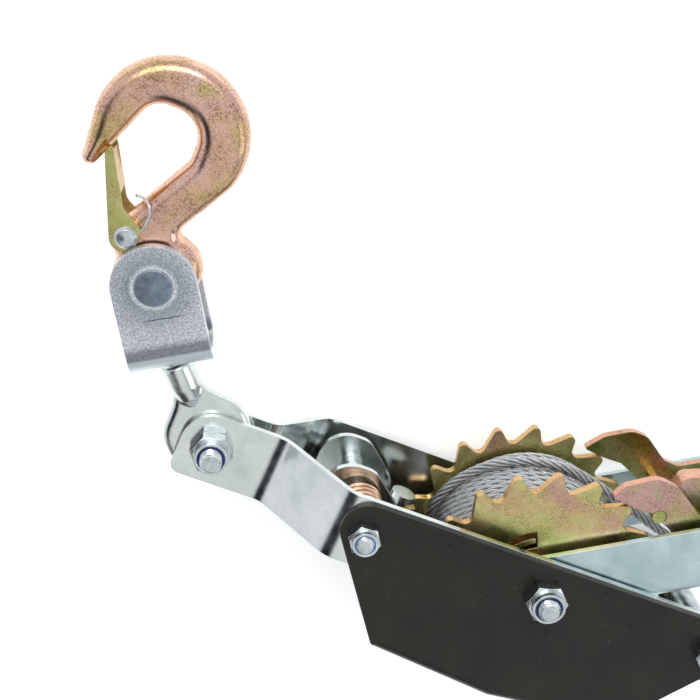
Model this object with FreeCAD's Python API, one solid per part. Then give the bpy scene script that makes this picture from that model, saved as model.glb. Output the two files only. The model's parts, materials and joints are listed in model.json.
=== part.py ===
import FreeCAD, Part
import math
import os

# Come-along winch (hand cable puller), lying on its side.
# Millimetres. Origin: drum axle centre, halfway between the side straps.
# +Z along the drum axle, +X towards the load end, +Y towards the open side of the ratchet wheels.

# ---- side straps ----
STRAP_T = 3.0                    # strap thickness
STRAP_W = 33.0                   # strap width
STRAP_OUT = 37.5                 # outer face of the wide section, from the mid plane
NOSE_OUT = 7.4                   # outer face of the narrow front section
FRONT_X = -161.5                 # front bolt, where the swivel eye hangs
PAWL_X = -89.5                   # holding pawl shaft
REAR_X = 87.0                    # rear bolt
STRAP_FRONT = -176.5
STRAP_REAR = 104.0
UPPER_JOGGLE = (-132.5, -101.5)  # where the +Z strap starts and ends its step outwards
LOWER_JOGGLE = (-137.0, -109.0)
STRAP_BEND = 9.5                 # inside bend radius of the step

# ---- guard ----
GUARD_OUT = 39.7
GUARD_T = GUARD_OUT - STRAP_OUT
GUARD_TOP = 15.5
GUARD_BEND = 3.8                 # inside bend radius between the cheeks and the floor
FLOOR_HALF = 62.0                # half length of the floor
FLOOR_Y = -60.3                  # outside of the floor at the bottom of its V
FLOOR_SLOPE = 6.1                # degrees
CHEEK_CORNER = 113.5             # where a cheek's top and slanted edges would meet

# ---- fasteners: (shank radius, across flats, head height, nut height, hex height, collar radius) ----
M10 = (5.0, 17.0, 6.4, 10.0, 6.6, 7.5)
M8 = (4.0, 13.0, 5.3, 8.0, 5.2, 5.8)
FIT = 0.05                       # radial clearance of a running fit

# ---- drum and ratchet wheels ----
TEETH = 18
WHEEL_TIP = 57.8                 # where a tooth's flanks would meet
WHEEL_ROOT = 44.4
TIP_ROUND = 2.4
ROOT_ROUND = 3.6
FIRST_TIP = 184.7                # degrees
STEEP = 4.6                      # degrees from a tip to the root of its steep face
WHEEL_Z = 24.8                   # mid plane of each wheel
WHEEL_T = 4.0
SLEEVE_R = 7.5                   # axle sleeve
DRUM_R = 24.0
DRUM_WALL = 2.5
TAB_ANGLES = (17.0, 137.0, 257.0)
TAB_SPAN = 34.0                  # degrees
WINDING_R = 44.5
ROPE_R = 2.4

# ---- rope line and load end ----
ROPE_TURN = -15.2                # degrees, direction of the free run
ROPE_OFF = WINDING_R + ROPE_R + 0.3
RUN_LENGTH = 172.0               # free run, from the winding to the ferrule
FERRULE_L = 22.0
LOOP_Z = -2.45                   # middle of the rope's loop, half a rope below the run
LOOP_HALF = 2.45
CROWN_AT = 38.0                  # crown centre, from the ferrule's end
THIMBLE_IN = 9.0
THIMBLE_T = 1.6
THIMBLE_W = 7.0
LOAD_HOLE = 9.0                  # hole in the load hook's eye
LOAD_SEAT = 5.4                  # how far the square eye stands back from the crown

# ---- handle ----
HANDLE_TURN = 32.3               # degrees
HANDLE_OUT = 33.0
HANDLE_T = 2.5
HANDLE_H = 16.0                  # half height of the channel
HANDLE_WEB_FROM = 105.0
HANDLE_GRIP_OUT = 15.0           # half width where the grip is
HANDLE_END = 398.0
GRIP_FROM = 282.0
PIVOT_S = 84.0                   # drive pawl pivot, along the handle
PIVOT_R = 4.0

# ---- swivel eye, yoke and hooks ----
SHANK_TURN = 133.0               # degrees, direction of the eye's shank
SHANK_R = 7.6
SHANK_END = 42.2
NECK_R = 5.4
HEAD_AT = 50.8
HEAD_R = 9.3
HEAD_H = 4.8
EYE_R = 20.0
EYE_T = 8.2
BASE_AT = 44.0                   # yoke base, along the shank
YOKE_TURN = 122.0
YOKE_REACH = 38.5                # yoke base to hook pin
YOKE_OUT = 14.5
YOKE_T = 4.5
YOKE_BEND = 4.0                  # inside bend radius
YOKE_HALF = 18.2
YOKE_HOLE = 6.7
HOOK_PIN_R = 7.5
HOOK_T = 15.0
HOOK_ROUND = 3.0
LATCH_PIVOT = (-18.0, 14.9)      # from the hook's pin
LATCH_GAP = 8.1                  # latch cheeks, from the hook's mid plane
LATCH_T = 1.2
HOOK_AIM = 104.4                 # degrees, direction of the hook's pull line in its own drawing

Vec = FreeCAD.Vector
X_AXIS = Vec(1, 0, 0)
Y_AXIS = Vec(0, 1, 0)
Z_AXIS = Vec(0, 0, 1)
ORIGIN = Vec(0, 0, 0)


# ---------------------------------------------------------------- drawing helpers
def polar(radius, degrees):
    angle = math.radians(degrees)
    return (radius * math.cos(angle), radius * math.sin(angle))


def lift(point, plane, level):
    """A flat point on the plane xy, xz or zy, at a level along that plane's normal."""
    if plane == "xy":
        return Vec(point[0], point[1], level)
    if plane == "xz":
        return Vec(point[0], level, point[1])
    return Vec(level, point[1], point[0])


def corner_arc(before, corner, after):
    """Start, middle and end of the tangent arc that rounds a corner (x, y, radius)."""
    here = Vec(corner[0], corner[1], 0)
    back = (Vec(before[0], before[1], 0) - here).normalize()
    ahead = (Vec(after[0], after[1], 0) - here).normalize()
    half = back.getAngle(ahead) / 2
    reach = corner[2] / math.tan(half)
    middle = (back + ahead).normalize()
    centre = here + middle * (corner[2] / math.sin(half))
    return here + back * reach, centre - middle * corner[2], here + ahead * reach


def outline(corners, plane="xy", level=0.0):
    """Closed wire through corners (x, y) or (x, y, rounding radius)."""
    edges = []
    count = len(corners)
    stops = []
    for i, corner in enumerate(corners):
        if len(corner) == 3:
            arc = corner_arc(corners[i - 1], corner, corners[(i + 1) % count])
            places = [lift((p.x, p.y), plane, level) for p in arc]
            edges.append(Part.Arc(*places).toShape())
            stops.append((places[0], places[2]))
        else:
            place = lift(corner, plane, level)
            stops.append((place, place))
    for i in range(count):
        start = stops[i][1]
        end = stops[(i + 1) % count][0]
        if start.distanceToPoint(end) > 1e-6:
            edges.append(Part.makeLine(start, end))
    return Part.Wire(Part.__sortEdges__(edges))


def prism(corners, low, high, plane="xy"):
    """Solid between two levels along the plane's normal, over a closed outline."""
    normal = {"xy": Z_AXIS, "xz": Y_AXIS, "zy": X_AXIS}[plane]
    face = Part.Face(outline(corners, plane, low))
    return face.extrude(normal * (high - low))


def sheet(path, thickness, bend):
    """Corners of a bent sheet's section: the path, and its copy offset to the right."""
    count = len(path)
    near = []
    far = []
    for i, point in enumerate(path):
        before = path[max(i - 1, 0)]
        after = path[min(i + 1, count - 1)]
        into = math.atan2(point[1] - before[1], point[0] - before[0])
        out = math.atan2(after[1] - point[1], after[0] - point[0])
        if i == 0:
            into = out
        if i == count - 1:
            out = into
        turn = math.remainder(out - into, 2 * math.pi)
        mean = into + turn / 2
        reach = thickness / math.cos(turn / 2)
        shifted = (point[0] + reach * math.sin(mean), point[1] - reach * math.cos(mean))
        if i in (0, count - 1):
            near.append(point)
            far.append(shifted)
        else:
            inside = bend
            outside = bend + thickness
            near.append((*point, inside if turn > 0 else outside))
            far.append((*shifted, outside if turn > 0 else inside))
    return near + far[::-1]


def cylinder(radius, low, high, x=0.0, y=0.0):
    return Part.makeCylinder(radius, high - low, Vec(x, y, low), Z_AXIS)


def ring(outer, inner, low, high, x=0.0, y=0.0):
    return cylinder(outer, low, high, x, y).cut(cylinder(inner, low - 1, high + 1, x, y))


def rod(radius, start, end):
    """Cylinder between two points."""
    along = end - start
    return Part.makeCylinder(radius, along.Length, start, along)


def revolved(profile, x=0.0, y=0.0):
    """Solid of revolution about Z from (radius, z) points."""
    points = [Vec(r, 0, z) for r, z in profile]
    face = Part.Face(Part.makePolygon(points + points[:1]))
    solid = face.revolve(ORIGIN, Z_AXIS, 360)
    solid.translate(Vec(x, y, 0))
    return solid


def placed(shape, turn=0.0, at=(0.0, 0.0, 0.0)):
    """Copy turned about Z through the origin, then moved."""
    copy = shape.copy()
    copy.rotate(ORIGIN, Z_AXIS, turn)
    copy.translate(Vec(*at))
    return copy


def joined(*shapes):
    """One solid out of overlapping ones."""
    whole = shapes[0].fuse(list(shapes[1:])).removeSplitter()
    return whole.Solids[0] if len(whole.Solids) == 1 else whole


def group(*shapes):
    """Separate solids kept together in one sub-part."""
    solids = [solid for shape in shapes for solid in shape.Solids]
    return Part.makeCompound(solids)


def mirrored(shape):
    """Mirror image across the mid plane."""
    return shape.mirror(ORIGIN, Z_AXIS)


# ---------------------------------------------------------------- fasteners
def hexagon(flats, low, high, x, y, turn=0.0):
    """Hexagonal prism with its corners chamfered at both ends."""
    corner = flats / math.sqrt(3)
    points = [polar(corner, 60 * i + turn) for i in range(6)]
    block = prism(points, low, high)
    rim = flats / 2 - 0.1
    bevel = (corner - rim) * 0.5
    profile = [(0, low), (rim, low), (corner, low + bevel), (corner, high - bevel), (rim, high), (0, high)]
    body = block.common(revolved(profile))
    body.translate(Vec(x, y, 0))
    return body


def bolt(size, x, y, head_face, end, turn=0.0):
    """Hex bolt along +Z: its head hangs below head_face and its thread ends at end."""
    radius, flats, head_h = size[:3]
    head = hexagon(flats, head_face - head_h, head_face, x, y, turn)
    tip = 1.0
    shank = revolved([(0, head_face - 1), (radius, head_face - 1), (radius, end - tip),
                      (radius - tip, end), (0, end)], x, y)
    return joined(head, shank)


def lock_nut(size, x, y, face, turn=0.0):
    """Lock nut standing on face, and its nylon ring."""
    radius, flats, _, height, hex_h, collar = size
    bore = radius + 0.03
    ring_out = collar - 1.2
    body = joined(hexagon(flats, face, face + hex_h, x, y, turn),
                  cylinder(collar, face + hex_h - 1, face + height, x, y))
    body = body.cut(cylinder(bore, face - 1, face + height + 1, x, y))
    body = body.cut(cylinder(ring_out, face + hex_h + 0.4, face + height + 1, x, y))
    nylon = ring(ring_out - 0.02, bore, face + hex_h + 0.4, face + height - 0.3, x, y)
    return body, nylon


def washer(outer, inner, low, high, x=0.0, y=0.0):
    return ring(outer, inner, low, high, x, y)


# ---------------------------------------------------------------- frame
def strap(joggle):
    """Side strap on the +Z side, drawn flat and stepped outwards behind the front bolt."""
    path = [(STRAP_FRONT - 5, NOSE_OUT), (joggle[0], NOSE_OUT),
            (joggle[1], STRAP_OUT), (STRAP_REAR + 5, STRAP_OUT)]
    bent = prism(sheet(path, STRAP_T, STRAP_BEND), -STRAP_W, STRAP_W, "xz")
    half = STRAP_W / 2
    plan = [(STRAP_FRONT, half, 15), (STRAP_FRONT, -half, 5),
            (STRAP_REAR, -half, 12), (STRAP_REAR, half, 12)]
    solid = bent.common(prism(plan, 0, 60))
    for x, size in ((FRONT_X, M10), (PAWL_X, M8), (0.0, M10), (REAR_X, M8)):
        solid = solid.cut(cylinder(size[0] + 0.1, 0, 60, x))
    return solid.Solids[0]


def guard_plate():
    """Sheet-metal guard: two cheeks over the straps, joined by a floor bent to a shallow V."""
    bend = GUARD_BEND + GUARD_T
    section = [(GUARD_OUT, 22), (GUARD_OUT, 0), (-GUARD_OUT, 0), (-GUARD_OUT, 22)]
    half = prism(sheet(section, GUARD_T, GUARD_BEND), -FLOOR_HALF - 10, 10, "zy")
    half.rotate(ORIGIN, Z_AXIS, -FLOOR_SLOPE)
    half.translate(Vec(0, FLOOR_Y, 0))
    half = half.common(Part.makeBox(FLOOR_HALF, 100, 100, Vec(-FLOOR_HALF, -90, -50)))
    floor_end = FLOOR_Y + FLOOR_HALF * math.tan(math.radians(FLOOR_SLOPE)) + bend
    foot = -50.9
    cheek = [(-CHEEK_CORNER, GUARD_TOP, 12.5), (-64, foot, 1.5), (-FLOOR_HALF, foot), (-FLOOR_HALF, floor_end),
             (0, FLOOR_Y + bend), (FLOOR_HALF, floor_end), (FLOOR_HALF, foot), (64, foot, 1.5),
             (CHEEK_CORNER, GUARD_TOP, 12.5)]
    upper = prism(cheek, STRAP_OUT, GUARD_OUT)
    whole = joined(half, half.mirror(ORIGIN, X_AXIS), upper, mirrored(upper))
    for x, size in ((PAWL_X, M8), (0.0, M10), (REAR_X, M8)):
        whole = whole.cut(cylinder(size[0] + 0.1, -60, 60, x))
    return whole.Solids[0]


# ---------------------------------------------------------------- drum
def ratchet_wheel():
    """Hooked-tooth wheel in its own plane, its teeth driving anticlockwise."""
    pitch = 360.0 / TEETH
    corners = []
    for k in range(TEETH):
        tip = FIRST_TIP - pitch * k
        corners.append((*polar(WHEEL_TIP, tip), TIP_ROUND))
        corners.append((*polar(WHEEL_ROOT, tip - STEEP), ROOT_ROUND))
    wheel = prism(corners, -WHEEL_T / 2, WHEEL_T / 2)
    wheel = wheel.cut(cylinder(SLEEVE_R + FIT, -9, 9))
    for angle in TAB_ANGLES:
        wheel = wheel.cut(arc_block(18.2, 26.4, angle, TAB_SPAN + 5, -9, 9))
    return wheel


def arc_block(inner, outer, middle, span, low, high):
    """Part of a ring between two radii, about a middle angle."""
    first = middle - span / 2
    last = middle + span / 2
    around = [Vec(*polar(outer, a), low) for a in (first, middle, last)]
    within = [Vec(*polar(inner, a), low) for a in (last, middle, first)]
    edges = [Part.Arc(*around).toShape(), Part.makeLine(around[2], within[0]),
             Part.Arc(*within).toShape(), Part.makeLine(within[2], around[0])]
    return Part.Face(Part.Wire(edges)).extrude(Z_AXIS * (high - low))


def drum_tube():
    """Rolled drum whose end tabs pass through the wheels' slots."""
    half = WHEEL_Z - WHEEL_T / 2
    reach = WHEEL_Z + WHEEL_T / 2 + 1.4
    tube = ring(DRUM_R, DRUM_R - DRUM_WALL, -half, half)
    tabs = [arc_block(DRUM_R - DRUM_WALL, DRUM_R, a, TAB_SPAN, -reach, reach) for a in TAB_ANGLES]
    return joined(tube, *tabs)


def winding():
    """Closed outer shape of the rope wound on the drum."""
    half = WHEEL_Z - WHEEL_T / 2 - 0.2
    inner = DRUM_R + 0.05
    return revolved([(inner, -half), (WINDING_R - 1.5, -half), (WINDING_R, -half + 3),
                     (WINDING_R, half - 3), (WINDING_R - 1.5, half), (inner, half)])


# ---------------------------------------------------------------- holding pawl
def holding_pawl():
    """Two-cheek pawl on the frame's shaft, held just clear of the wheel's tips."""
    low = -28.5
    inner_low = -25.5
    inner_high = 3.5
    high = 6.5
    body = [(-18.5, 15.5, 14), (3, 15.5, 11), (20, 1.5, 14), (32.8, -30.5), (46.8, -37.8), (43.5, -45.5, 1.5),
            (33.5, -45.5, 5), (-18, -13, 12)]
    bridge = [(20.5, -5), (24.5, -9), (32.8, -30.5), (46.8, -37.8), (43.5, -45.5, 1.5), (33.5, -45.5),
              (30, -41), (20, -16)]
    cheeks = [prism(body, low, inner_low), prism(body, inner_high, high)]
    pawl = joined(*cheeks, prism(bridge, low, high))
    pawl = pawl.cut(cylinder(6.0 + FIT, -60, 60))
    knob = Vec(25.5, -8, -14)
    stem = rod(2.5, knob - Vec(2, 5, 0), knob + Vec(0, 6.5, 0))
    head = rod(6.0, knob + Vec(0, 6.5, 0), knob + Vec(0, 9.5, 0))
    pawl = joined(pawl, stem, head)
    pawl.translate(Vec(PAWL_X, 0, 0))
    return pawl


# ---------------------------------------------------------------- drive pawl
def drive_pawl():
    """Forked pawl on the handle: one arm over each wheel, joined by a cross plate and a finger lever."""
    pivot = polar(PIVOT_S, HANDLE_TURN)
    near = [(12.4, 52.4, 1.2), (15.0, 59.0, 4), (27.5, 68.0, 11), (38.5, 67.0, 9), (62.0, 53.8, 6),
            (81, 53.5, 8), (81, 36.5, 8), (63.0, 36.5, 6), (43.5, 47.0, 3), (33, 50.9, 3),
            (23.6, 50.5), (13.2, 51.4)]
    far = [(12.4, 52.4, 1.2), (18.5, 61.0, 5), (30.5, 69.0, 12), (39.0, 68.5, 9), (52.5, 60.2, 7),
           (61.0, 60.0, 6), (73.0, 67.5, 8), (93.0, 72.0, 3), (94, 67, 3), (81, 55, 6),
           (81, 36.5, 8), (63.0, 36.5, 6), (43.5, 47.0, 3), (33, 50.9, 3), (23.6, 50.5), (13.2, 51.4)]
    inner = WHEEL_Z - WHEEL_T / 2
    outer = WHEEL_Z + WHEEL_T / 2
    lever = [(46.5, 50.0), (44.2, 60), (45.6, 68.5, 5), (55.0, 72.6, 8), (90.0, 82.0, 3), (91.5, 77.5, 2),
             (70.0, 66.0, 8), (62.0, 46.0)]
    cross = [(46.5, 50.0, 1.2), (50.5, 53.5, 2), (61.5, 54.6, 1.5), (62.6, 52.4), (52.0, 49.0)]
    body = joined(prism(near, inner, outer), prism(far, -outer, -inner), prism(cross, -inner - 1, inner + 1),
                  prism(lever, 6.0, 15.0))
    body = body.cut(cylinder(3.5, inner - 0.2, outer + 1, 37.2, 50.4))
    body = body.cut(cylinder(PIVOT_R + FIT, -60, 60, *pivot))
    return body


# ---------------------------------------------------------------- handle
def in_handle(shape):
    """From the handle's own frame, X along it from the axle, to its place at rest."""
    return placed(shape, HANDLE_TURN)


def handle_plan(offset):
    """Half-width outline of the channel seen from above, narrowing to the grip."""
    wide = HANDLE_OUT - offset
    slim = HANDLE_GRIP_OUT - offset
    start = -HANDLE_H - 5 * (offset > 0)
    end = HANDLE_END + 5 * (offset > 0)
    side = [(start, wide), (132, wide, 30), (222, slim, 30), (end, slim)]
    other = [(x, -z, *r) for x, z, *r in side[::-1]]
    return side + other


def handle_channel():
    """Pressed channel: ears on the axle, side walls, and a web that starts past the drive pawl."""
    half = HANDLE_H
    outer = prism(handle_plan(0.0), -half, half, "xz")
    inner = prism(handle_plan(HANDLE_T), -half + HANDLE_T, half + 1, "xz")
    room = HANDLE_OUT - HANDLE_T
    throat = Part.makeBox(HANDLE_WEB_FROM + 30, HANDLE_T + 2, 2 * room, Vec(-30, -half - 1, -room))
    bottom = [e for e in outer.Edges if e.BoundBox.YMax < -half + 0.1 and e.BoundBox.XLength > 5]
    outer = outer.makeFillet(4.0, bottom)
    channel = outer.cut(inner).cut(throat)
    side = [(-half, half, half - 0.1), (-half, -half, half - 0.1), (HANDLE_END, -half), (HANDLE_END, half)]
    channel = channel.common(prism(side, -60, 60))
    channel = channel.cut(cylinder(SLEEVE_R + FIT, -60, 60))
    channel = channel.cut(cylinder(PIVOT_R + 0.02, -60, 60, PIVOT_S))
    return in_handle(channel.Solids[0])


def handle_grip():
    """Ribbed sleeve over the end of the channel."""
    half_w = HANDLE_GRIP_OUT + 3.5
    half_h = HANDLE_H + 3.5
    side = [(GRIP_FROM, -half_h, 4), (GRIP_FROM, half_h, 4),
            (HANDLE_END + 5, half_h, 8), (HANDLE_END + 5, -half_h, 8)]
    block = prism(side, -half_w, half_w)
    long_edges = [e for e in block.Edges if e.BoundBox.ZLength < 0.1 and e.BoundBox.XLength > 40]
    block = block.makeFillet(7.0, long_edges)
    hollow = Part.makeBox(HANDLE_END + 0.1 - GRIP_FROM + 1, 2 * HANDLE_H + 0.1, 2 * HANDLE_GRIP_OUT + 0.1,
                          Vec(GRIP_FROM - 1, -HANDLE_H - 0.05, -HANDLE_GRIP_OUT - 0.05))
    return in_handle(block.cut(hollow).Solids[0])


# ---------------------------------------------------------------- eye and yoke
def swivel_eye():
    """Forged eye: flat ring on the front bolt, shank with flats, neck and head inside the yoke."""
    half = EYE_T / 2
    flat = prism([(8, 19.2), (8, -19.2), (33.5, -SHANK_R), (33.5, SHANK_R)], -half, half)
    shank = Part.makeCylinder(SHANK_R, SHANK_END, ORIGIN, X_AXIS)
    for side in (1, -1):
        slab = cylinder(31.0, half, 20)
        shank = shank.cut(slab if side > 0 else mirrored(slab))
    neck = Part.makeCylinder(NECK_R, HEAD_AT - SHANK_END + 2, Vec(SHANK_END - 1, 0, 0), X_AXIS)
    head = Part.makeCylinder(HEAD_R, HEAD_H, Vec(HEAD_AT, 0, 0), X_AXIS)
    eye = joined(cylinder(EYE_R, -half, half), flat, shank, neck, head)
    eye = eye.cut(cylinder(M10[0] + FIT, -20, 20))
    return placed(eye, SHANK_TURN, (FRONT_X, 0, 0))


def yoke_base():
    """Where the shank's axis meets the outside of the yoke's base."""
    x, y = polar(BASE_AT, SHANK_TURN)
    return (FRONT_X + x, y)


def hook_pin():
    """Centre of the yoke's rivet, on which the anchor hook turns."""
    x, y = polar(YOKE_REACH, YOKE_TURN)
    base = yoke_base()
    return (base[0] + x, base[1] + y)


def yoke():
    """Strap bent into a U: drawn with its base at X = 0 and its rivet at X = YOKE_REACH."""
    top = YOKE_REACH + YOKE_HALF
    path = [(top, YOKE_OUT), (0, YOKE_OUT), (0, -YOKE_OUT), (top, -YOKE_OUT)]
    corners = sheet(path[::-1], YOKE_T, YOKE_BEND)
    bent = prism(corners, -YOKE_HALF, YOKE_HALF, "xz")
    plan = [(-30, -YOKE_HALF), (top, -YOKE_HALF, YOKE_HALF - 0.1),
            (top, YOKE_HALF, YOKE_HALF - 0.1), (-30, YOKE_HALF)]
    bent = bent.common(prism(plan, -40, 40))
    bent = bent.cut(cylinder(HOOK_PIN_R + 0.02, -40, 40, YOKE_REACH))
    bent = bent.cut(Part.makeCylinder(YOKE_HOLE, 30, Vec(-10, 0, 0), X_AXIS))
    base = yoke_base()
    return placed(bent.Solids[0], YOKE_TURN, (*base, 0))


# ---------------------------------------------------------------- hooks
def hook_body(hole):
    """Forged hook about its eye's centre, open towards -X and latched there."""
    corners = [(17.8, 18.7, 14), (18.5, -18.5, 18), (-18.5, -18.5, 18), (-18.5, 4, 6), (-25, 9, 5),
               (-22, 20, 6), (-4.2, 53.4, 8), (-4.2, 71.6, 12), (-26.6, 71.6, 10), (-45.3, 24.5, 3.4),
               (-49.4, 92.3, 32), (18.2, 92.6, 32), (17.3, 52, 26), (0.6, 22, 4)]
    half = HOOK_T / 2
    body = prism(corners, -half, half)
    face_edges = [e for e in body.Edges if e.BoundBox.ZLength < 0.01]
    body = body.makeFillet(HOOK_ROUND, face_edges)
    body = body.cut(cylinder(hole, -30, 30))
    return body.cut(cylinder(2.5, -30, 30, *LATCH_PIVOT))


def hook_latch():
    """Sprung latch: two cheeks astride the hook, joined by a web inside the throat."""
    cheek = [(-36.6, 49.5, 1.2), (-37.6, 45.5, 1.5), (-22.8, 8.2, 6), (-13.0, 8.5, 5),
             (-12.5, 20.5, 4), (-23.0, 25.8, 6), (-34.5, 47.5, 1.2)]
    outer = LATCH_GAP + LATCH_T
    web = [(-34.6, 46.4), (-35.8, 45.6), (-27.2, 31.2), (-25.9, 32.0)]
    upper = prism(cheek, LATCH_GAP, outer)
    whole = joined(upper, mirrored(upper), prism(web, -outer, outer))
    return whole.cut(cylinder(2.5 + FIT, -30, 30, *LATCH_PIVOT))


def latch_rivet():
    """Rivet through the latch's cheeks, with a domed head on each side."""
    outer = LATCH_GAP + LATCH_T
    head = revolved([(0, outer), (4.8, outer + 0.1), (4.8, outer + 0.6),
                     (3.6, outer + 1.6), (0, outer + 2.0)])
    shank = cylinder(2.5, -outer - 0.5, outer + 0.5)
    whole = joined(shank, head, mirrored(head))
    whole.translate(Vec(*LATCH_PIVOT, 0))
    return whole


def latch_spring():
    """Wire leg of the latch's spring, lying along the hook's upper face."""
    level = HOOK_T / 2 + 0.75
    places = [Vec(-9.5, 17.5, level), Vec(-13.0, 28.0, level),
              Vec(-17.0, 35.0, level), Vec(-22.0, 37.5, level)]
    runs = [rod(0.6, places[i], places[i + 1]) for i in range(3)]
    knees = [Part.makeSphere(0.6, place) for place in places[1:3]]
    return joined(*runs, *knees)


# ---------------------------------------------------------------- load end
def on_line(shape, along=0.0, level=0.0):
    """From a drawing along X to its place on the rope line, measured from the winding."""
    start = polar(ROPE_OFF, ROPE_TURN + 90)
    x, y = polar(along, ROPE_TURN)
    return placed(shape, ROPE_TURN, (start[0] + x, start[1] + y, level))


def teardrop(apex, centre, radius, plane="xz", level=0.0):
    """Closed wire: a point at X = apex and a round crown about X = centre."""
    gap = centre - apex
    tilt = math.asin(radius / gap)
    run = math.sqrt(gap * gap - radius * radius)
    touch = (apex + run * math.cos(tilt), run * math.sin(tilt))
    edges = [Part.makeLine(lift((apex, 0), plane, level), lift(touch, plane, level)),
             Part.Arc(lift(touch, plane, level), lift((centre + radius, 0), plane, level),
                      lift((touch[0], -touch[1]), plane, level)).toShape(),
             Part.makeLine(lift((touch[0], -touch[1]), plane, level), lift((apex, 0), plane, level))]
    return Part.Wire(edges)


def thimble():
    """Teardrop eye that the rope's loop lies on."""
    half = THIMBLE_W / 2
    outer = Part.Face(teardrop(8.0, CROWN_AT, THIMBLE_IN + THIMBLE_T, "xz", -half)).extrude(Y_AXIS * THIMBLE_W)
    inner = Part.Face(teardrop(12.0, CROWN_AT, THIMBLE_IN, "xz", -half - 1)).extrude(Y_AXIS * (THIMBLE_W + 2))
    return outer.cut(inner)


def rope_loop():
    """Rope round the thimble, from the ferrule and back into it."""
    radius = THIMBLE_IN + THIMBLE_T + 0.05 + ROPE_R
    gap = math.hypot(CROWN_AT, LOOP_HALF)
    aim = math.atan2(-LOOP_HALF, CROWN_AT) + math.asin(radius / gap)
    run = math.sqrt(gap * gap - radius * radius)
    touch = (run * math.cos(aim), LOOP_HALF + run * math.sin(aim))
    start = Vec(0, 0, LOOP_HALF)
    upper = Vec(touch[0], 0, touch[1])
    lower = Vec(touch[0], 0, -touch[1])
    path = Part.Wire([Part.makeLine(start, upper),
                      Part.Arc(upper, Vec(CROWN_AT + radius, 0, 0), lower).toShape(),
                      Part.makeLine(lower, Vec(0, 0, -LOOP_HALF))])
    section = Part.Wire(Part.makeCircle(ROPE_R, start, upper - start))
    return path.makePipeShell([section], True, True)


def ferrule():
    """Oval sleeve pressed round both legs of the rope."""
    half = 3.7
    reach = LOOP_HALF + ROPE_R + 1.4
    block = prism([(0, reach), (0, -reach), (FERRULE_L, -reach), (FERRULE_L, reach)], -half, half, "xz")
    edges = [e for e in block.Edges if e.BoundBox.XLength > 5]
    block = block.makeFillet(half - 0.1, edges)
    for level in (LOOP_HALF, -LOOP_HALF):
        block = block.cut(rod(ROPE_R + 0.02, Vec(-1, 0, level), Vec(FERRULE_L + 1, 0, level)))
    return block


# ---------------------------------------------------------------- all the sub-parts
def fasteners():
    far = -GUARD_OUT
    front_nut, front_nylon = lock_nut(M10, FRONT_X, 0, NOSE_OUT, 12)
    axle_nut, axle_nylon = lock_nut(M10, 0, 0, GUARD_OUT, 18)
    pawl_nut, pawl_nylon = lock_nut(M8, PAWL_X, 0, GUARD_OUT, 5)
    rear_nut, rear_nylon = lock_nut(M8, REAR_X, 0, GUARD_OUT, 22)
    return {
        "front_bolt": bolt(M10, FRONT_X, 0, -NOSE_OUT, NOSE_OUT + 14.5),
        "axle_bolt": bolt(M10, 0, 0, far, GUARD_OUT + 13.0),
        "frame_bolts": group(bolt(M8, PAWL_X, 0, far, GUARD_OUT + 9.5),
                             bolt(M8, REAR_X, 0, far, GUARD_OUT + 9.5)),
        "lock_nuts_m10": group(front_nut, axle_nut),
        "lock_nuts_m8": group(pawl_nut, rear_nut),
        "nylon_rings_m10": group(front_nylon, axle_nylon),
        "nylon_rings_m8": group(pawl_nylon, rear_nylon),
    }


def frame_parts():
    inside = STRAP_OUT - STRAP_T
    handle_wall = HANDLE_OUT + 0.1
    upper_washer = washer(13.0, SLEEVE_R + FIT, handle_wall, inside - 0.1)
    return {
        "strap_upper": strap(UPPER_JOGGLE),
        "strap_lower": mirrored(strap(LOWER_JOGGLE)),
        "gear_guard": guard_plate(),
        "axle_sleeve": ring(SLEEVE_R, M10[0] + 0.1, -inside, inside),
        "axle_washers": group(upper_washer, mirrored(upper_washer)),
        "pawl_sleeve": ring(6.0, M8[0] + 0.1, -inside, inside, PAWL_X),
        "rear_spacer": ring(8.0, M8[0] + 0.1, -inside, inside, REAR_X),
        "holding_pawl_spring": ring(11.0, 8.8, 8.2, 30.0, PAWL_X),
    }


def drum_parts():
    wheel = ratchet_wheel()
    face = WHEEL_Z + WHEEL_T / 2
    disc = washer(12.0, SLEEVE_R + FIT, face, HANDLE_OUT - HANDLE_T - 0.3)
    return {
        "drum_tube": drum_tube(),
        "ratchet_upper": placed(wheel, 0, (0, 0, WHEEL_Z)),
        "ratchet_lower": placed(wheel, 0, (0, 0, -WHEEL_Z)),
        "drum_washers": group(disc, mirrored(disc)),
        "rope_winding": winding(),
    }


def handle_parts():
    pivot = polar(PIVOT_S, HANDLE_TURN)
    wall = HANDLE_OUT
    pin = joined(cylinder(PIVOT_R, -wall, wall),
                 ring(6.5, 1.0, wall, wall + 1.3).fuse(cylinder(1.5, wall, wall + 1.3)),
                 ring(6.5, 1.0, -wall - 1.3, -wall).fuse(cylinder(1.5, -wall - 1.3, -wall)))
    pin.translate(Vec(*pivot, 0))
    return {
        "handle_channel": handle_channel(),
        "handle_grip": handle_grip(),
        "drive_pawl_pin": pin,
        "drive_pawl": drive_pawl(),
        "drive_pawl_catch": cylinder(3.2, 20.0, WHEEL_Z + WHEEL_T / 2, 37.2, 50.4),
        "drive_pawl_spring": ring(7.2, 5.6, -20.0, -6.0, *pivot),
    }


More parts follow.
